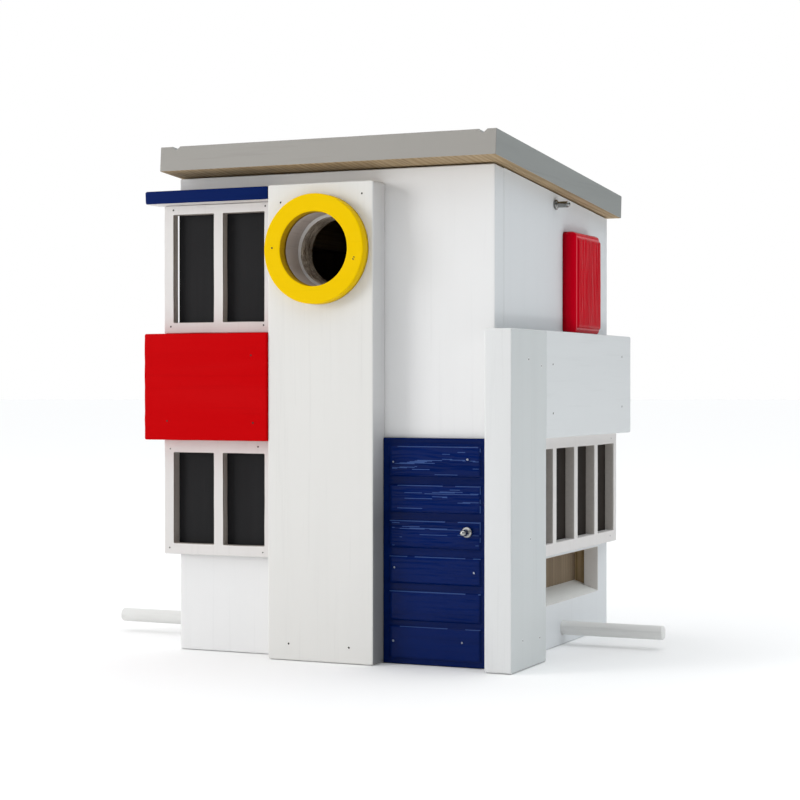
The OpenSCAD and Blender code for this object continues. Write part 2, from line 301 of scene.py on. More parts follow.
# Painted shade: the door's base between the raised fields is painted darker, as shade in the recesses.
BLUE_D = painted("blue_door", "001A56", "X", 0.17, 0.6, 0.14, 9.9, 0.10, painted_shade=("Y", -0.0885, -0.0878, 0.15))
RED_X = painted("red_board", "C00005", "X", 0.45, 0.2, 0.025, 2.2, 0.02)
RED_Z = painted("red_shutter", "C4001A", "Z", 0.20, 0.5, 0.12, 5.1, 0.16, ior=1.22)
# Painted highlight: a light red for the highlight line along the shutter's ridge.
RED_HIGHLIGHT = painted("red_painted_highlight", "DA4E57", "Z", 0.35, 0.3, 0.05, 5.7, 0.2)
# Painted highlight: a lighter blue for thin highlight lines on the door.
BLUE_HIGHLIGHT = painted("blue_painted_highlight", "2F4B85", "X", 0.35, 0.3, 0.10, 3.9, 0.2)
# Painted shade: a darker copy of the pylon's white for its right-facing side, darkened further towards the bottom
# beside the door.
PYLON_SIDE_SHADE = painted("white_board_side_painted_shade", "D6D6D6", "Z", 0.5, 0.14, 0.012, 4.1, 0.25, painted_shade=("Z", 0.125, 0.070, 0.60))
# Painted shade: a darker copy of the post's white for its right-facing side.
POST_SIDE_SHADE = painted("white_post_side_painted_shade", "CACECE", "Z", 0.5, 0.12, 0.010, 6.7, 0.25)
YELLOW = painted("yellow_ring", "EBC200", "X", 0.45, 0.15, 0.012, 1.1, 0.03)
# Painted shade: a darker yellow for the bore of the ring.
YELLOW_BORE_SHADE = painted("yellow_bore_painted_shade", "C29A10", "Y", 0.6, 0.4, 0.10, 6.1, 0.10)
PERCH = painted("perch_paint", "DEDEDC", "X", 0.55, 0.35, 0.02, 3.9, 0.2)
# Painted shade: a grey-mauve copy of the white paint for the pylon's bore.
BORE_SHADE = painted("bore_grey_painted_shade", "C9C0BB", "Y", 0.7, 0.5, 0.08, 2.6, 0.12)
RAW = bare("raw_wood", "C8B494", "A0875F", "Y", 0.4)
RAW_Z = bare("raw_wood_upright", "C6B08C", "A0875F", "Z", 1.4)
EAVES = bare("raw_underside", "AE987A", "97815F", "Y", 3.4)
INNER = bare("inner_wood", "988771", "7C6B57", "Z", 2.4)
TORN = torn("torn_grain", "FFF6E8", "7A6C5E", 0.7)
STEEL = metal("steel", "8E8E8C", 0.12)
KNOB = metal("steel_knob", "BCBCBA", 0.24)
NAIL = painted("nail_head", "191513", "X", 0.5, 0.4, 0.2, 1.9, 0.3)
NAIL_L = metal("nail_bright", "9AA0AE", 0.4)

# ---------------------------------------------------------------- mesh builders (millimetres)


def top_z(y):
    """Underside of the roof plane at row-frame y in millimetres."""
    return 240.0 - (13.0 / 170.0) * (y + 85.0)


TILT = math.atan(13.0 / 170.0)


def wob(p, scale, amp, seed=0.0):
    return amp * noise.noise(Vector((p[0] * scale + seed, p[1] * scale - seed, p[2] * scale + 2.7 * seed)))


def rect(u0, v0, u1, v1, rc=1.0, n=4):
    """Rounded rectangle, anticlockwise."""
    out = []
    for cx, cy, a0 in ((u1 - rc, v0 + rc, -90), (u1 - rc, v1 - rc, 0), (u0 + rc, v1 - rc, 90), (u0 + rc, v0 + rc, 180)):
        for k in range(n + 1):
            a = math.radians(a0 + 90 * k / n)
            out.append((cx + rc * math.cos(a), cy + rc * math.sin(a)))
    return out


def rounded(poly, rc=1.0, n=4):
    """Rounds the corners of a convex or gently concave anticlockwise polygon."""
    out = []
    m = len(poly)
    for i in range(m):
        p, q, r = Vector(poly[i - 1]), Vector(poly[i]), Vector(poly[(i + 1) % m])
        a, b = (p - q).normalized(), (r - q).normalized()
        half = a.angle(b) / 2
        d = min(rc / math.tan(half), 0.45 * min((p - q).length, (r - q).length))
        s0, s1 = q + a * d, q + b * d
        for k in range(n + 1):
            t = k / n
            out.append(tuple(s0 * (1 - t) ** 2 + q * 2 * t * (1 - t) + s1 * t * t))
    return out


def circle(cu, cv, r, n=72):
    return [(cu + r * math.cos(2 * math.pi * k / n), cv + r * math.sin(2 * math.pi * k / n)) for k in range(n)]


def inset(loop, d):
    """Moves every edge of an anticlockwise loop inwards by d; a negative d moves it out."""
    if abs(d) < 1e-9:
        return list(loop)
    n = len(loop)
    out = []
    for i in range(n):
        p, q, r = Vector(loop[i - 1]), Vector(loop[i]), Vector(loop[(i + 1) % n])
        e0, e1 = (q - p), (r - q)
        if e0.length < 1e-7 or e1.length < 1e-7:
            out.append(tuple(q))
            continue
        n0 = Vector((-e0.y, e0.x)).normalized()
        n1 = Vector((-e1.y, e1.x)).normalized()
        b = n0 + n1
        k = d / max(0.2, (b.length_squared / 2))
        out.append(tuple(q + b * k))
    return out


FRAMES = {
    "XZ": lambda u, v, w: (u, w, v),
    "YZ": lambda u, v, w: (w, u, v),
    "XY": lambda u, v, w: (u, v, w),
}


def to_object(bm, name, mats, weighted=True):
    bmesh.ops.remove_doubles(bm, verts=bm.verts, dist=0.004)
    bmesh.ops.dissolve_degenerate(bm, edges=bm.edges, dist=0.002)
    bmesh.ops.recalc_face_normals(bm, faces=bm.faces)
    for v in bm.verts:
        v.co *= MM
    for f in bm.faces:
        f.smooth = True
    me = bpy.data.meshes.new(name)
    bm.to_mesh(me)
    bm.free()
    o = bpy.data.objects.new(name, me)
    scene.collection.objects.link(o)
    for mt in mats:
        me.materials.append(mt)
    if weighted:
        w = o.modifiers.new("normals", "WEIGHTED_NORMAL")
        w.mode = "FACE_AREA"
        w.weight = 50
    return o


def plate_bm(outer, holes=(), plane="XZ", lo=0.0, hi=10.0, r=0.8, hole_r=0.4, steps=4, mid=1, hole_fn=None,
             grid=None, hole_mat=0, hole_steps=3):
    """A board: an outline with holes, extruded from lo to hi, with every arris rounded."""
    to3 = FRAMES[plane]
    bm = bmesh.new()
    caps = {0: [], 1: []}

    def rings(loop, rad, sign, n, matidx, fn=None, mids=1):
        levels = []
        for k in range(n + 1):
            a = 0.5 * math.pi * k / n
            levels.append((rad * (1 - math.sin(a)), lo + rad * (1 - math.cos(a))))
        for k in range(1, mids):
            levels.append((0.0, lo + rad + (hi - lo - 2 * rad) * k / mids))
        for k in range(n, -1, -1):
            a = 0.5 * math.pi * k / n
            levels.append((rad * (1 - math.sin(a)), hi - rad * (1 - math.cos(a))))
        prev = None
        for li, (d, w) in enumerate(levels):
            pts = inset(loop, sign * d)
            if fn:
                pts = [fn(p, w, li, len(levels)) for p in pts]
            row = [bm.verts.new(to3(p[0], p[1], w)) for p in pts]
            if prev:
                for i in range(len(row)):
                    j = (i + 1) % len(row)
                    try:
                        f = bm.faces.new((prev[i], prev[j], row[j], row[i]))
                        f.material_index = matidx if 0 < li - n < len(levels) - 2 * n or matidx == 0 else matidx
                    except ValueError:
                        pass
            else:
                caps[0].append((row, pts))
            prev = row
        caps[1].append((prev, pts))

    rings(outer, r, 1, steps, 0)
    for h in holes:
        rings(h, hole_r, -1, hole_steps, hole_mat, hole_fn, mid)
    from mathutils.geometry import tessellate_polygon
    for side in (0, 1):
        loops = caps[side]
        flat = [v for row, _ in loops for v in row]
        tris = tessellate_polygon([[Vector((p[0], p[1], 0)) for p in pts] for _, pts in loops])
        for t in tris:
            try:
                bm.faces.new([flat[i] for i in t])
            except ValueError:
                pass
    bmesh.ops.remove_doubles(bm, verts=bm.verts, dist=0.004)
    if grid:
        us = [p[0] for p in outer]
        vs = [p[1] for p in outer]
        e0 = Vector(to3(1, 0, 0)) - Vector(to3(0, 0, 0))
        e1 = Vector(to3(0, 1, 0)) - Vector(to3(0, 0, 0))
        for e, vals, step in ((e0, us, grid[0]), (e1, vs, grid[1])):
            n = int((max(vals) - min(vals) - 4) / step)
            for k in range(n + 1):
                c = min(vals) + 2 + (max(vals) - min(vals) - 4) * k / max(1, n)
                bmesh.ops.bisect_plane(bm, geom=bm.verts[:] + bm.edges[:] + bm.faces[:], dist=0.002,
                                       plane_co=e * c, plane_no=e)
    return bm


def waves(bm, plane, amp, grain, seed, inward=True):
    """Gentle hand-planed unevenness of the faces; never rises above the board's size."""
    axis = {"XZ": 1, "YZ": 0, "XY": 2}[plane]
    ws = [v.co[axis] for v in bm.verts]
    lo, hi = min(ws), max(ws)
    for v in bm.verts:
        p = v.co
        q = [p[0] * 0.05, p[1] * 0.05, p[2] * 0.05]
        q["XYZ".index(grain)] *= 0.18
        h = 0.5 + 0.5 * noise.noise(Vector((q[0] + seed, q[1] + seed, q[2])))
        if p[axis] - lo < 0.01:
            v.co[axis] += amp * h
        elif hi - p[axis] < 0.01:
            v.co[axis] -= amp * h


def board(node, mats, outer, holes=(), plane="XZ", lo=0.0, hi=10.0, amp=0.05, grain="Z", seed=1.0, name=None,
          body="box", slot=None, grid=(6, 9), edit=None, **kw):
    bm = plate_bm(outer, holes, plane, lo, hi, grid=grid, **kw)
    if amp:
        waves(bm, plane, amp, grain, seed)
    if edit:
        edit(bm)
    o = to_object(bm, name or node + "_board", mats)
    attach(o, body)
    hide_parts(node)
    return o


def lathe(name, profile, origin, axis, mats, segs=48, body="box", fn=None, keep=()):
    """Turns (radius, distance) pairs about an axis through origin."""
    z = Vector(axis).normalized()
    x = z.orthogonal().normalized()
    y = z.cross(x)
    bm = bmesh.new()
    rows = []
    for r, t in profile:
        if r < 1e-6:
            rows.append([bm.verts.new(Vector(origin) + z * t)])
            continue
        row = []
        for k in range(segs):
            a = 2 * math.pi * k / segs
            rr, tt = fn(r, t, a) if fn else (r, t)
            row.append(bm.verts.new(Vector(origin) + z * tt + (x * math.cos(a) + y * math.sin(a)) * rr))
        rows.append(row)
    for p, q in zip(rows, rows[1:]):
        for k in range(segs):
            j = (k + 1) % segs
            if len(p) == 1 and len(q) == 1:
                continue
            if len(p) == 1:
                bm.faces.new((p[0], q[j], q[k]))
            elif len(q) == 1:
                bm.faces.new((p[k], p[j], q[0]))
            else:
                bm.faces.new((p[k], p[j], q[j], q[k]))
    o = to_object(bm, name, mats)
    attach(o, body)
    if keep:
        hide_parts(*keep)
    return o


def field_grid(name, us, vs, depth, edge_r, plane, base, out_sign, mats, node, rc=0.5, squash=1.0, body="box"):
    """A closed board whose outer face is a height field depth(u, v) above base, edges rounded."""
    to3 = FRAMES[plane]
    u0, u1, v0, v1 = us[0], us[-1], vs[0], vs[-1]
    bm = bmesh.new()
    g = []

    def plan(u, v):
        """Squares round into quarter circles within rc of each corner."""
        cu = u0 + rc if u < u0 + rc else (u1 - rc if u > u1 - rc else None)
        cv = v0 + rc if v < v0 + rc else (v1 - rc if v > v1 - rc else None)
        if cu is None or cv is None:
            return u, v
        a, b = u - cu, v - cv
        h = math.hypot(a, b)
        if h < 1e-9:
            return u, v
        m = max(abs(a), abs(b))
        return cu + a * m / h, cv + b * m / h

    for v in vs:
        row = []
        for u in us:
            d = min(u - u0, (u1 - u) * squash, (v - v0) * squash, (v1 - v) * squash)
            h = depth(u, v)
            if d < edge_r:
                h -= edge_r - math.sqrt(max(0.0, edge_r ** 2 - (edge_r - d) ** 2))
            row.append(bm.verts.new(to3(*plan(u, v), base + out_sign * h)))
        g.append(row)
    for j in range(len(vs) - 1):
        for i in range(len(us) - 1):
            bm.faces.new((g[j][i], g[j][i + 1], g[j + 1][i + 1], g[j + 1][i]))
    rim = g[0][:] + [r[-1] for r in g[1:]] + g[-1][-2::-1] + [r[0] for r in g[-2:0:-1]]
    coords = [(u, v0) for u in us] + [(u1, v) for v in vs[1:]] + [(u, v1) for u in us[-2::-1]] + [(u0, v) for v in vs[-2:0:-1]]
    back = [bm.verts.new(to3(*plan(c[0], c[1]), base)) for c in coords]
    n = len(rim)
    for k in range(n):
        bm.faces.new((rim[k], rim[(k + 1) % n], back[(k + 1) % n], back[k]))
    cv = bm.verts.new(to3((u0 + u1) / 2, (v0 + v1) / 2, base))
    for k in range(n):
        bm.faces.new((back[k], back[(k + 1) % n], cv))
    o = to_object(bm, name, mats)
    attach(o, body)
    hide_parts(node)
    return o


def lines(a, b, step, extra=()):
    n = max(1, round((b - a) / step))
    vals = sorted(set([round(a + (b - a) * k / n, 4) for k in range(n + 1)] + [round(e, 4) for e in extra if a < e < b]))
    out = [vals[0]]
    for v in vals[1:]:
        if v - out[-1] > 0.045:
            out.append(v)
    out[-1] = vals[-1]
    return out


def dress(node, mat, bevel=0.0, segments=3):
    """Gives a CAD node its finish, its flat faces cleaned up and its arrises rounded."""
    o = N[node]
    o.data.materials.clear()
    o.data.materials.append(mat)
    w = o.modifiers.new("weld", "WELD")
    w.merge_threshold = 0.00001
    d = o.modifiers.new("flat", "DECIMATE")
    d.decimate_type = "DISSOLVE"
    d.angle_limit = math.radians(1)
    if bevel:
        b = o.modifiers.new("round", "BEVEL")
        b.width = bevel * MM
        b.segments = segments
        b.limit_method = "ANGLE"
        b.angle_limit = math.radians(50)
    n = o.modifiers.new("normals", "WEIGHTED_NORMAL")
    n.mode = "FACE_AREA"
    for p in o.data.polygons:
        p.use_smooth = True
    return o


# ---------------------------------------------------------------- body

X0, X1, Y0, Y1 = -86.0, 86.0, -85.0, 85.0


def shear_top(bm):
    """Brings a flat-topped board's top down to the sloping roof plane."""
    for v in bm.verts:
        if v.co.z > 219:
            v.co.z = 219 + (v.co.z - 219) * (top_z(v.co.y) - 0.75 - 219) / 21.0


def torn_hole(p, w, li, n):
    """Ragged drilled hole in the front wall: fibres stand out more towards the lower left."""
    a = math.atan2(p[1] - 200.0, p[0])
    r = math.hypot(p[0], p[1] - 200.0)
    depth = (w - Y0) / 12.0
    amt = 0.25 + 0.75 * max(0.0, math.cos(a - math.radians(205)))
    f = noise.noise(Vector((math.cos(a) * 9, math.sin(a) * 9, depth * 3))) + 0.6 * noise.noise(
        Vector((math.cos(a) * 26, math.sin(a) * 26, depth * 4 + 5)))
    rr = r - amt * max(0.0, f) * 1.5 * (0.35 + 0.65 * depth) + 0.35 * f * (1 - amt)
    rr += 0.22 * math.sin(depth * 34.0 + 1.5 * math.sin(a * 2)) * (0.4 + amt)
    rr = max(15.0, min(17.1, rr))
    return (math.cos(a) * rr, 200.0 + math.sin(a) * rr)


def wall_faces(bm, inner_axis, inner_sign, limit):
    """Inner faces of a wall stay bare wood: material slot 2."""
    bm.normal_update()
    for f in bm.faces:
        c = f.calc_center_median()
        if f.normal[inner_axis] * inner_sign > 0.6 and (c[inner_axis] - limit) * inner_sign > -0.3:
            f.material_index = 2


def edit_front(bm):
    bmesh.ops.recalc_face_normals(bm, faces=bm.faces)
    wall_faces(bm, 1, 1, -73.0)
    shear_top(bm)


front = board("front_wall", [WHITE_Z, TORN, RAW_Z, SIDE_SHADE_Z], rect(X0, 0, X1, 240, 1.0), [circle(0, 200, 16.7, 144)], "XZ", Y0, -73.0,
      amp=0.05, seed=1.0, r=0.8, hole_r=0.3, mid=26, hole_fn=torn_hole, hole_mat=1, grid=(9, 12), edit=edit_front, slot="white_paint")
# The front wall's right-facing end gets the side walls' darker copy of the white: painted shade.
for p in front.data.polygons:
    if p.normal.x > 0.7 and p.center.x > 84 * MM:
        p.material_index = 3


def edit_back(bm):
    bmesh.ops.recalc_face_normals(bm, faces=bm.faces)
    wall_faces(bm, 1, -1, 73.0)
    for v in bm.verts:
        v.co.z *= (top_z(v.co.y) - 0.75) / 240.0


board("back_wall", [WHITE_Z, WHITE_Z, RAW_Z], rect(-77.98, 0, 77.98, 240, 0.6), (), "XZ", 73.0, Y1,
      amp=0.06, seed=4.0, r=0.45, grid=(9, 12), edit=edit_back, slot="white_paint")


def side_wall(node, xa, xb, perch_y, pin, inner_sign, name):
    out = rounded([(-72.98, 0), (Y1, 0), (Y1, top_z(Y1) - 0.75), (-72.98, top_z(-73) - 0.75)], 0.35)
    holes = [rect(-45, 22.4, 69.3, 46.3, 0.5, 3)[::1], circle(perch_y, 8.5, 3.62, 40)]
    if pin:
        holes.append(circle(-0.5, 226.8, 1.85, 28))

    def edit(bm):
        bmesh.ops.recalc_face_normals(bm, faces=bm.faces)
        wall_faces(bm, 0, inner_sign, (xa if inner_sign < 0 else xb))

    board(node, [SIDE_SHADE_Z, REVEAL_W, RAW_Z], out, holes, "YZ", xa, xb, amp=0.05, seed=perch_y, r=0.3, hole_r=0.25,
          hole_mat=1, grid=(9, 12), edit=edit, slot="white_paint", name=name)


side_wall("right_wall", 78.0, 86.0, 12.0, True, -1, "right_wall_board")
side_wall("left_wall", -86.0, -78.0, -31.0, False, 1, "left_wall_board")

dress("floor_board", RAW, 0.3)
dress("inner_board_left", INNER, 0.3)
dress("inner_board_right", INNER, 0.3)
dress("seed_tray_left", TRAY_LIT, 0.2)
dress("seed_tray_right", TRAY_LIT, 0.2)
dress("roof_cleat_left", RAW, 0.4)
dress("roof_cleat_right", RAW, 0.4)

# ---------------------------------------------------------------- front boards

def repaint(o, index, test):
    """Gives the faces that pass the test another of the object's materials."""
    for p in o.data.polygons:
        if test(p.center / MM, p.normal):
            p.material_index = index


pylon = board("pylon", [PYLON, BORE_SHADE, PYLON_SIDE_SHADE], rect(-28, 0, 29, 232.4, 1.1), [circle(0, 200, 18.35, 96)], "XZ", -99.2, -85.02,
      amp=0.10, seed=7.0, r=0.9, hole_r=0.4, hole_mat=1, mid=3, grid=(3, 9), slot="white_paint")
# The pylon's right-facing side gets the darker copy of its white: painted shade.
repaint(pylon, 2, lambda c, n: n.x > 0.7 and c.x > 27)
post = board("corner_post", [POST, POST_SIDE_SHADE], rect(-99.2, 0, -51.62, 160.8, 1.1), (), "YZ", 86.02, 99.8,
      amp=0.08, seed=9.0, r=0.9, grid=(5, 9), slot="white_paint")
# The post's right-facing side gets the darker copy of its white: painted shade.
repaint(post, 1, lambda c, n: n.x > 0.7)
board("balcony_side", [BALC_SHADE], rect(-51.58, 108.4, Y1, 161.0, 1.1), (), "YZ", 86.02, 99.8,
      amp=0.08, grain="Y", seed=11.0, r=0.9, grid=(9, 5), slot="white_paint")


def edit_red(bm):
    for v in bm.verts:
        if v.co.x < -97.4:
            v.co.x += abs(wob(v.co, 0.11, 0.55, 3.0))
        if v.co.z > 159 or v.co.z < 108:
            v.co.z += (-1 if v.co.z > 130 else 1) * abs(wob(v.co, 0.05, 0.3, 6.0))


board("balcony_front", [RED_X], rect(-98, 106.8, -28.02, 160.2, 1.0), (), "XZ", -100.2, -85.02,
      amp=0.08, grain="X", seed=13.0, r=0.7, grid=(9, 4), edit=edit_red, slot="red_paint")


def edit_canopy(bm):
    bmesh.ops.recalc_face_normals(bm, faces=bm.faces)
    bm.normal_update()
    for f in bm.faces:
        if f.normal.z < -0.7:
            f.material_index = 1
    for v in bm.verts:
        if v.co.x < -96.5:
            v.co.x += abs(wob(v.co, 0.3, 0.4, 2.0))


board("canopy", [BLUE_X, FRAME_Z], rect(-98, 225.3, -28.02, 231.9, 1.1, 6), (), "XZ", -99.2, -85.02,
      amp=0.05, grain="X", seed=15.0, r=0.55, grid=(9, 3), edit=edit_canopy, slot="blue_paint")

# ring: flat face, slightly proud inner rim, worn inner edge


def ring_fn(r, t, a):
    k = 0.10 * noise.noise(Vector((math.cos(a) * 3, math.sin(a) * 3, r * 0.2)))
    return r - abs(k), t


RO, RI, RT = 26.7, 18.0, 6.4
ring_prof = [(RI, 0.05), (RI, RT * 0.4), (RI, RT - 0.5), (RI + 0.12, RT - 0.2), (RI + 0.4, RT - 0.03), (RI + 0.9, RT)]
ring_prof += [(RI + (RO - RI) * k / 8, RT - 0.04 * math.sin(math.pi * k / 8)) for k in range(2, 8)]
ring_prof += [(RO - 0.6, RT - 0.01), (RO - 0.2, RT - 0.14), (RO - 0.02, RT - 0.5), (RO, RT * 0.5), (RO, 0.05), (RI, 0.05)]
ring = lathe("entrance_ring_turned", ring_prof, (0, -99.2, 200), (0, -1, 0), [YELLOW, YELLOW_BORE_SHADE], 128, fn=ring_fn,
             keep=("entrance_ring",))
# Faces of the ring's bore get the darker yellow: painted shade.
for f in ring.data.polygons:
    c = f.center
    if math.hypot(c.x, c.z - 0.2) < 0.01805:
        f.material_index = 1

# ---------------------------------------------------------------- windows


def frame_edit(seed):
    def edit(bm):
        for v in bm.verts:
            v.co.x += wob(v.co, 0.06, 0.22, seed)
            v.co.z += wob(v.co, 0.06, 0.22, seed + 4)
    return edit


def front_window(node, z0, z1, low, top, seed):
    lights = [rect(-86.6, z0 + low, -63.4, z1 - top, 0.35, 2), rect(-58.0, z0 + low, -34.7, z1 - top, 0.35, 2)]
    def edit(bm):
        frame_edit(seed)(bm)
        if z0 < 100:
            for v in bm.verts:
                if v.co.x < -86.2 and v.co.y > -86.2:
                    v.co.y += 1.6

    board(node, [FRAME_Z, REVEAL_F_SHADE], rect(-92.1, z0 + 0.15, -28.3, z1 - 0.15, 0.7), lights, "XZ", -90.2, -85.62,
          amp=0.05, seed=seed, r=0.45, hole_r=0.2, hole_mat=1, hole_steps=2, mid=2, grid=(6, 6), edit=edit,
          slot="frame_paint")


front_window("upper_window", 160.4, 225.3, 5.6, 4.9, 17.0)
front_window("lower_window", 48.6, 106.8, 5.7, 6.6, 19.0)


def side_edit(bm):
    bmesh.ops.recalc_face_normals(bm, faces=bm.faces)
    bm.normal_update()
    # Reveal faces that face up keep the white frame paint; the others keep the grey of painted shade.
    for f in bm.faces:
        if f.material_index == 1 and f.normal.z > 0.6:
            f.material_index = 0
    for v in bm.verts:
        v.co.y += wob(v.co, 0.06, 0.2, 23.0)
        v.co.z += wob(v.co, 0.06, 0.12, 27.0)


board("side_window", [FRAME_Z, REVEAL_S_SHADE], rect(-51.4, 48.75, 84.85, 108.25, 0.7),
      [rect(y - 85, 54.8, y - 57.5, 102.3, 0.35, 2) for y in (38.3, 71.2, 104.2, 137.3)], "YZ", 86.62, 91.6,
      amp=0.05, seed=21.0, r=0.45, hole_r=0.2, hole_mat=1, hole_steps=2, mid=2, grid=(6, 6), edit=side_edit, slot="frame_paint")
dress("upper_window_backing", DARK)
dress("lower_window_backing", DARK)
dress("side_window_backing", DARK_S)

# ---------------------------------------------------------------- door

ROWS = [(2.7, 15.8, 0.06), (21.1, 14.3, 0.07), (39.0, 13.3, 0.08), (56.1, 13.3, 0.20), (73.1, 13.4, 0.24), (90.4, 14.8, 0.20)]
FX0, FX1 = 32.6, 80.2


def smooth(t):
    t = max(0.0, min(1.0, t))
    return t * t * (3 - 2 * t)


def door_h(u, v):
    """Height of the door's face above the wall: base 2.8, fields up to 4.0, with brushed ridges."""
    h = 2.75 - 0.03 * abs(noise.noise(Vector((u * 0.2, v * 1.1, 3.0))))
    for z, hh, amp in ROWS:
        d = min(u - FX0, FX1 - u, v - z, z + hh - v)
        if d > -0.2:
            k = max(0.0, min(1.0, (d + 0.1) / 0.95)) ** 0.8
            bend = 1.6 * noise.noise(Vector((u * 0.035, v * 0.05, z)))
            ridge = noise.noise(Vector((u * 0.045, (v + bend) * 1.05, z * 3.1)))
            ridge += 0.5 * noise.noise(Vector((u * 0.12, (v + bend) * 2.6, z)))
            crown = 1.08 - amp * (0.75 - ridge)
            h = 2.75 + k * crown
    return min(3.98, h)


ex = []
for z, hh, _ in ROWS:
    ex += [z - 0.15, z + 0.2, z + 0.6, z + 1.0, z + hh - 1.0, z + hh - 0.6, z + hh - 0.2, z + hh + 0.15]
door_us = lines(29.03, 84.0, 1.3, [29.1, 29.2, 29.35, 29.6, FX0 - 0.15, FX0 + 0.2, FX0 + 0.6, FX0 + 1.0, FX1 - 1.0, FX1 - 0.6,
                                FX1 - 0.2, FX1 + 0.15, 83.4, 83.65, 83.8, 83.92])
door_vs = lines(0.0, 109.0, 0.34, ex + [0.08, 0.2, 0.4, 108.6, 108.8, 108.92])


def door_highlight(c, n):
    """Painted highlight: a lighter blue along the top arris of each field, along the right arris of the upper fields
    and on the crests of ridges across them.
    """
    if n.y > -0.3:
        return False
    for z, hh, amp in ROWS:
        if -0.12 < c.z - (z + hh - 0.42) < 0.30 and FX0 < c.x < FX1:
            return noise.noise(Vector((c.x * 0.10, z, 5.0))) > -0.22
        if z > 50 and z + 0.6 < c.z < z + hh and -0.35 < c.x - (FX1 - 0.3) < 0.1:
            return noise.noise(Vector((c.z * 0.35, z, 9.0))) > -0.05
        if z > 50 and z + 1 < c.z < z + hh - 1 and FX0 + 2 < c.x < FX1 - 1:
            bend = 1.2 * noise.noise(Vector((c.x * 0.03, c.z * 0.05, z)))
            lean = 0.10 * (c.x - FX0) / (FX1 - FX0)
            return noise.noise(Vector((c.x * 0.034, (c.z + bend) * 1.45, z * 1.7))) + lean > 0.47
    return False


door = field_grid("door_panel", door_us, door_vs, door_h, 0.6, "XZ", -85.02, -1, [BLUE_D, BLUE_HIGHLIGHT], "door", 0.5)
# The door's arrises and ridge crests get the lighter blue: painted highlight.
repaint(door, 1, door_highlight)

# ---------------------------------------------------------------- shutter

SHUTTER_TOP = 214.0
SY0, SY1, SZ0, SZ1 = 11.0, 52.2, 161.02, SHUTTER_TOP


def shutter_h(u, v):
    """Height of the shutter's face above the wall: rounded block with a bevelled field and upright grain."""
    d = min(u - SY0 - 0.6, SY1 - u + 5, v - SZ0, SZ1 - v)
    k = smooth((d - 2.4) / 1.5)
    bend = 0.8 * noise.noise(Vector((u * 0.05, v * 0.03, 8.0)))
    g = noise.noise(Vector(((u + bend) * 0.80, v * 0.030, 2.0))) + 0.6 * noise.noise(Vector(((u + bend) * 2.0, v * 0.05, 6.0)))
    lip = 0.18 * math.exp(-((d - 2.5) / 0.35) ** 2)
    return 6.55 + k * (1.0 + 0.20 * g) + (1 - k) * 0.04 * g + lip


sh_us = lines(SY0, SY1, 0.34, [SY0 + x for x in (0.02, 0.06, 0.12, 0.2, 0.3, 0.42)] + [SY1 - x for x in (0.02, 0.06, 0.12, 0.2, 0.3, 0.42)])
sh_vs = lines(SZ0, SZ1, 0.9, [SZ0 + x for x in (0.01, 0.03, 0.08, 0.16, 0.3, 0.5, 0.8, 1.2, 2.2, 2.5, 3.0, 3.5)]
              + [SZ1 - x for x in (0.01, 0.03, 0.08, 0.16, 0.3, 0.5, 0.8, 1.2, 2.2, 2.5, 3.0, 3.5)])


def ridge(c, n):
    """Painted highlight along the ridge round the shutter's field."""
    a = min(c.y - SY0 - 0.6, c.z - SZ0, SZ1 - c.z)
    return n.x > 0.3 and abs(a - 2.62) < 0.34 and noise.noise(Vector((c.y * 0.3, c.z * 0.12, 2.0))) > -0.62


shutter = field_grid("shutter_panel", sh_us, sh_vs, shutter_h, 3.0, "YZ", 86.02, 1, [RED_Z, RED_HIGHLIGHT], "shutter", 2.6, 2.0)
# The shutter's ridge gets the light red: painted highlight.
repaint(shutter, 1, ridge)

# ---------------------------------------------------------------- perches and fittings


def dowel(seed):
    def fn(r, t, a):
        k = 0.05 * noise.noise(Vector((math.cos(a) * 4 + seed, math.sin(a) * 4, t * 0.02)))
        k += 0.03 * noise.noise(Vector((math.cos(a) * 14 + seed, math.sin(a) * 14, t * 0.05)))
        return r - abs(k), t
    return fn


def perch_profile(length, r=3.6):
    p = [(0, 0.0), (r - 0.5, 0.02), (r - 0.1, 0.2), (r, 0.6)]
    p += [(r, 0.6 + (length - 1.4) * k / 14) for k in range(1, 15)]
    p += [(r - 0.12, length - 0.35), (r - 0.45, length - 0.1), (r - 1.0, length - 0.02), (r * 0.5, length), (0, length)]
    return p


lathe("perch_right_dowel", perch_profile(73.2), (67.0, 12.0, 8.5), (1, 0, 0), [PERCH], 40, fn=dowel(1.0),
      keep=("perch_right",))
lathe("perch_left_dowel", perch_profile(86.6), (-67.0, -31.0, 8.5), (-1, 0, 0), [PERCH], 40, fn=dowel(5.0),
      keep=("perch_left",))


def stud_profile(shaft, nose, rc=2.6, r=1.6, tail=0.0):
    p = [(0, -tail), (r, -tail), (r, -0.001)] if tail else [(0, 0.0)]
    p += [(rc - 0.2, 0.0), (rc, 0.18), (rc, 0.95), (rc - 0.25, 1.3), (r + 0.35, 1.4), (r + 0.05, 1.55), (r, 1.8)]
    p += [(r, 1.8 + (shaft - r - 1.8) * k / 4) for k in range(1, 5)]
    p += [(r * math.cos(a), shaft - r + r * math.sin(a)) for a in (0.3, 0.6, 0.9, 1.15, 1.4)]
    p += [(0, shaft)]
    return p


lathe("door_knob_turned", stud_profile(6.95, 1.6), (73.5, -88.98, 64.5), (0, -1, 0), [KNOB], 32, keep=("door_knob",))
lathe("roof_pin_turned", stud_profile(8.2, 1.6, tail=22.4), (86.02, -0.5, 226.8), (1, 0, 0), [STEEL], 32, body="pin",
      keep=("roof_pin",))

# ---------------------------------------------------------------- roof

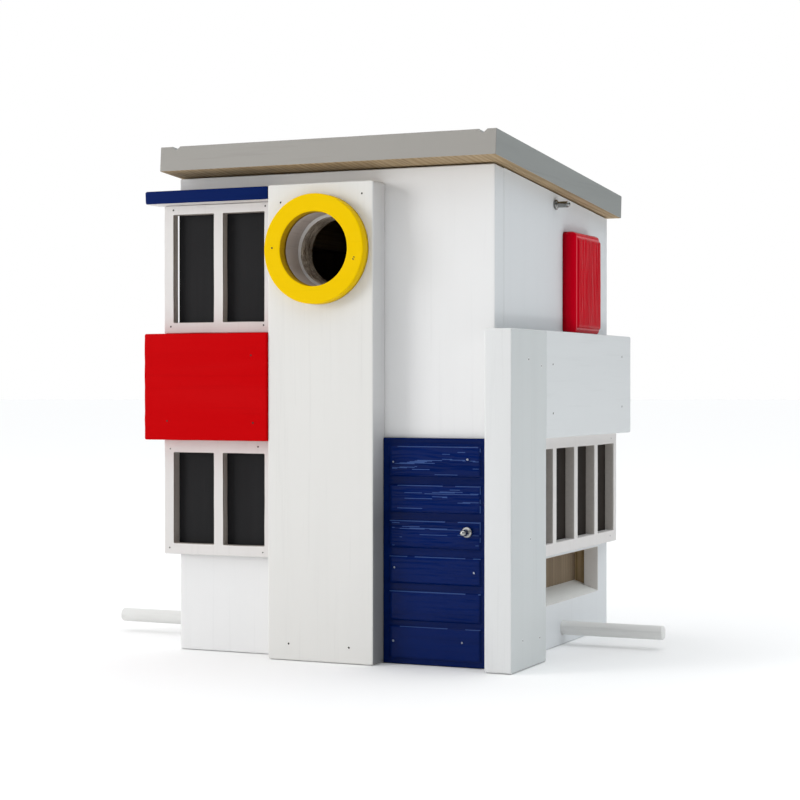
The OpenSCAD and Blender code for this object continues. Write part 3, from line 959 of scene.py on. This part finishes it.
RX0, RW, RT2 = -87.6, 180.6, 12.4
GL, GR = RX0 + 9.0, RX0 + RW - 6.8
prof = [(RX0, 0), (RX0 + RW, 0), (RX0 + RW, RT2), (GR + 2.2, RT2), (GR, RT2 - 1.9), (GR - 2.2, RT2), (GL + 2.2, RT2),
        (GL, RT2 - 1.9), (GL - 2.2, RT2), (RX0, RT2)]
ROOF_LEN = 191.0 / math.cos(TILT)


def roof_edit(bm):
    bmesh.ops.recalc_face_normals(bm, faces=bm.faces)
    n = int(ROOF_LEN / 9)
    for k in range(1, n):
        bmesh.ops.bisect_plane(bm, geom=bm.verts[:] + bm.edges[:] + bm.faces[:], dist=0.002,
                               plane_co=(0, ROOF_LEN * k / n, 0), plane_no=(0, 1, 0))
    bm.normal_update()
    # Underside: bare wood; front and back ends: the lighter grey (painted light); the rest: the darker grey (painted
    # shade).
    for f in bm.faces:
        c = f.calc_center_median()
        if f.normal.z < -0.75 and c.z < 0.4:
            f.material_index = 1
        elif abs(f.normal.y) > 0.75:
            f.material_index = 2
    for v in bm.verts:
        if v.co.z > RT2 - 0.05:
            v.co.z -= 0.10 * (0.5 + 0.5 * noise.noise(Vector((v.co.x * 0.09, v.co.y * 0.012, 4.0))))
            if v.co.y > ROOF_LEN - 1.3:
                v.co.z -= 0.5
        elif v.co.z > 0.05 and (v.co.x < RX0 + 0.02 or v.co.x > RX0 + RW - 0.02):
            v.co.x += (1 if v.co.x < 0 else -1) * 0.10 * (0.5 + 0.5 * noise.noise(Vector((v.co.z * 0.3, v.co.y * 0.02, 8.0))))
    t = Matrix.Translation((0, -102.0, top_z(-102.0))) @ Matrix.Rotation(-TILT, 4, "X")
    bm.transform(t)


bm = plate_bm(rounded(prof, 0.55, 3), (), "XZ", 0.0, ROOF_LEN, r=0.5, grid=(9, 20))
roof_edit(bm)
o = to_object(bm, "roof_board_planed", [GREY_SHADE, EAVES, GREY_X_LIT])
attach(o, "roof")
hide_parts("roof_board")

# ---------------------------------------------------------------- nails

rng = random.Random(7)


def nails(name, spots, axis, mats, head=0.5, body="box"):
    """Small set nails: a raised lip of paint round a sunk head. Each spot is the point on the face."""
    z = Vector(axis)
    x = z.orthogonal().normalized()
    y = z.cross(x)
    bm = bmesh.new()
    for s in spots:
        k = 0.85 + 0.3 * rng.random()
        r = head * k
        squash = 0.8 + 0.35 * rng.random()
        tilt = rng.random() * math.pi
        prof = [(r + 0.75, -0.10), (r + 0.55, 0.01), (r + 0.3, 0.07), (r + 0.08, 0.06), (r, 0.0), (r * 0.9, 0.03), (r * 0.4, 0.05)]
        rows = []
        n = 20
        for q, t in prof:
            row = []
            for i in range(n):
                a = 2 * math.pi * i / n
                e = 1 + (squash - 1) * abs(math.cos(a - tilt)) + 0.06 * noise.noise(Vector((s[0] + math.cos(a), s[1] + math.sin(a), s[2] + q)))
                row.append(bm.verts.new(Vector(s) + z * t + (x * math.cos(a) + y * math.sin(a)) * q * e))
            rows.append(row)
        for ri in range(len(rows) - 1):
            for i in range(n):
                j = (i + 1) % n
                f = bm.faces.new((rows[ri][i], rows[ri][j], rows[ri + 1][j], rows[ri + 1][i]))
                f.material_index = 0 if ri < 3 else 1
        f = bm.faces.new(rows[-1])
        f.material_index = 1
        f = bm.faces.new(rows[0][::-1])
        f.material_index = 0
    o = to_object(bm, name, mats, weighted=False)
    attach(o, body)
    return o


F = -1
nails("nails_pylon", [(a, -99.14, b) for a, b in ((-20.8, 223.5), (23.1, 226.2), (-16.5, 8.1), (16.1, 7.9))], (0, -1, 0), [PYLON, NAIL], 0.5)
nails("nails_upper_window", [(a, -90.15, b) for a, b in ((-86.7, 222.9), (-34.1, 223.1), (-88.3, 164.0), (-35.1, 164.1))], (0, -1, 0), [FRAME_Z, NAIL], 0.45)
nails("nails_lower_window", [(a, -90.15, b) for a, b in ((-88.6, 102.1), (-38.2, 103.7), (-89.0, 51.9), (-35.6, 51.2))], (0, -1, 0), [FRAME_Z, NAIL], 0.45)
nails("nails_red_board", [(a, -100.14, b) for a, b in ((-36.8, 149.0), (-84.6, 116.4), (-35.7, 115.8))], (0, -1, 0), [RED_X, NAIL], 0.4)
nails("nails_ring", [(-22.2, -105.57, 200.9), (21.5, -105.57, 194.5), (21.9, -105.57, 195.3)], (0, -1, 0), [YELLOW, NAIL], 0.38)
nails("nails_door", [(a, -88.87, b) for a, b in ((34.9, 97.4), (73.5, 99.0), (35.5, 46.5), (76.8, 45.3), (34.9, 11.1), (70.7, 11.9))], (0, -1, 0), [BLUE_D, NAIL_L], 0.42)
nails("nails_post", [(99.75, a, b) for a, b in ((-76.5, 146.5), (-58.8, 143.6), (-74.1, 61.1), (-84.3, 14.0), (-61.1, 12.7))], (1, 0, 0), [POST, NAIL], 0.45)
nails("nails_side_balcony", [(99.75, a, b) for a, b in ((-42.2, 144.5), (-41.8, 120.5), (68.9, 149.7), (69.0, 122.8))], (1, 0, 0), [BALC_SHADE, NAIL], 0.45)
nails("nails_side_window", [(91.56, a, b) for a, b in ((75.3, 105.3), (73.7, 52.0))], (1, 0, 0), [FRAME_Z, NAIL], 0.4)
nails("nails_back", [(a, 84.97, b) for a in (-72.0, 0.0, 72.0) for b in (5.5, 112.0, 219.0)], (0, 1, 0), [WHITE_Z, NAIL], 0.5)

# ---------------------------------------------------------------- stage

FRONT, RIGHT, SIDE_TINT, ZENITH = 0.14, 0.08, (0.92, 0.965, 1.0), 1.36
KEY, FILL = 28.0, 1.3


def plane(name, size, z, mat):
    me = bpy.data.meshes.new(name)
    s = size / 2
    me.from_pydata([(-s, -s, z), (s, -s, z), (s, s, z), (-s, s, z)], [], [(0, 1, 2, 3)])
    o = bpy.data.objects.new(name, me)
    scene.collection.objects.link(o)
    me.materials.append(mat)
    return o


floor_m = Mat("floor")
floor_m.b.inputs["Base Color"].default_value = (0.93, 0.93, 0.93, 1)
floor_m.b.inputs["Roughness"].default_value = 1.0
floor_m.b.inputs["Specular IOR Level"].default_value = 0.0
plane("floor", 60, -0.0002, floor_m.m)

world = bpy.data.worlds.new("studio")
scene.world = world
world.use_nodes = True
wt = world.node_tree
bg = wt.nodes["Background"]
tc = wt.nodes.new("ShaderNodeTexCoord")
sx = wt.nodes.new("ShaderNodeSeparateXYZ")
wt.links.new(tc.outputs["Generated"], sx.inputs[0])


def wnode(value, lo, hi, a, b):
    n = wt.nodes.new("ShaderNodeMapRange")
    n.interpolation_type = "SMOOTHSTEP"
    wt.links.new(value, n.inputs["Value"])
    for k, v in (("From Min", lo), ("From Max", hi), ("To Min", a), ("To Max", b)):
        n.inputs[k].default_value = v
    return n.outputs["Result"]


def wmath(op, a, b):
    n = wt.nodes.new("ShaderNodeMath")
    n.operation = op
    wt.links.new(a, n.inputs[0])
    wt.links.new(b, n.inputs[1])
    return n.outputs[0]


# white all round behind the object, dimmer in front of it, brightest overhead
back = wnode(sx.outputs["Y"], -0.35, 0.25, FRONT, 1.0)
high = wnode(sx.outputs["Z"], 0.25, 0.8, 0.0, 1.0)
low = wmath("MULTIPLY", back, wnode(sx.outputs["Z"], 0.25, 0.8, 1.0, 0.0))
low = wmath("MULTIPLY", low, wnode(sx.outputs["X"], -0.15, 0.60, 1.0, RIGHT))
top = wnode(sx.outputs["Z"], 0.25, 0.8, 0.0, ZENITH)
total = wmath("ADD", low, top)
tint = wt.nodes.new("ShaderNodeMix")
tint.data_type = "RGBA"
wt.links.new(wnode(sx.outputs["X"], 0.0, 0.6, 0.0, 1.0), tint.inputs[0])
tint.inputs[6].default_value = (1, 1, 1, 1)
tint.inputs[7].default_value = (*SIDE_TINT, 1)
wt.links.new(tint.outputs[2], bg.inputs["Color"])
wt.links.new(total, bg.inputs["Strength"])


def area(name, loc, target, size, power, colour=(1, 1, 1), shape="RECTANGLE", size_y=None):
    d = bpy.data.lights.new(name, "AREA")
    d.shape = shape
    d.size = size
    if size_y:
        d.size_y = size_y
    d.energy = power
    d.color = colour
    o = bpy.data.objects.new(name, d)
    scene.collection.objects.link(o)
    o.location = loc
    o.rotation_mode = "QUATERNION"
    o.rotation_quaternion = (Vector(target) - Vector(loc)).to_track_quat("-Z", "Y")
    return o


area("key", (-2.0, -1.75, 0.62), (0, 0, 0.12), 1.1, KEY, (1, 0.995, 0.985), size_y=0.9)
area("bounce", (0.34, -0.02, 0.022), (0.086, 0.0, 0.04), 0.26, 0.10, (0.97, 0.99, 1.0), size_y=0.03)
area("fill", (0.60, 0.20, 1.5), (0.30, 0.0, 0.0), 0.8, FILL, (0.95, 0.98, 1.0), size_y=0.6)

scene.view_settings.view_transform = "Standard"
scene.view_settings.look = "None"
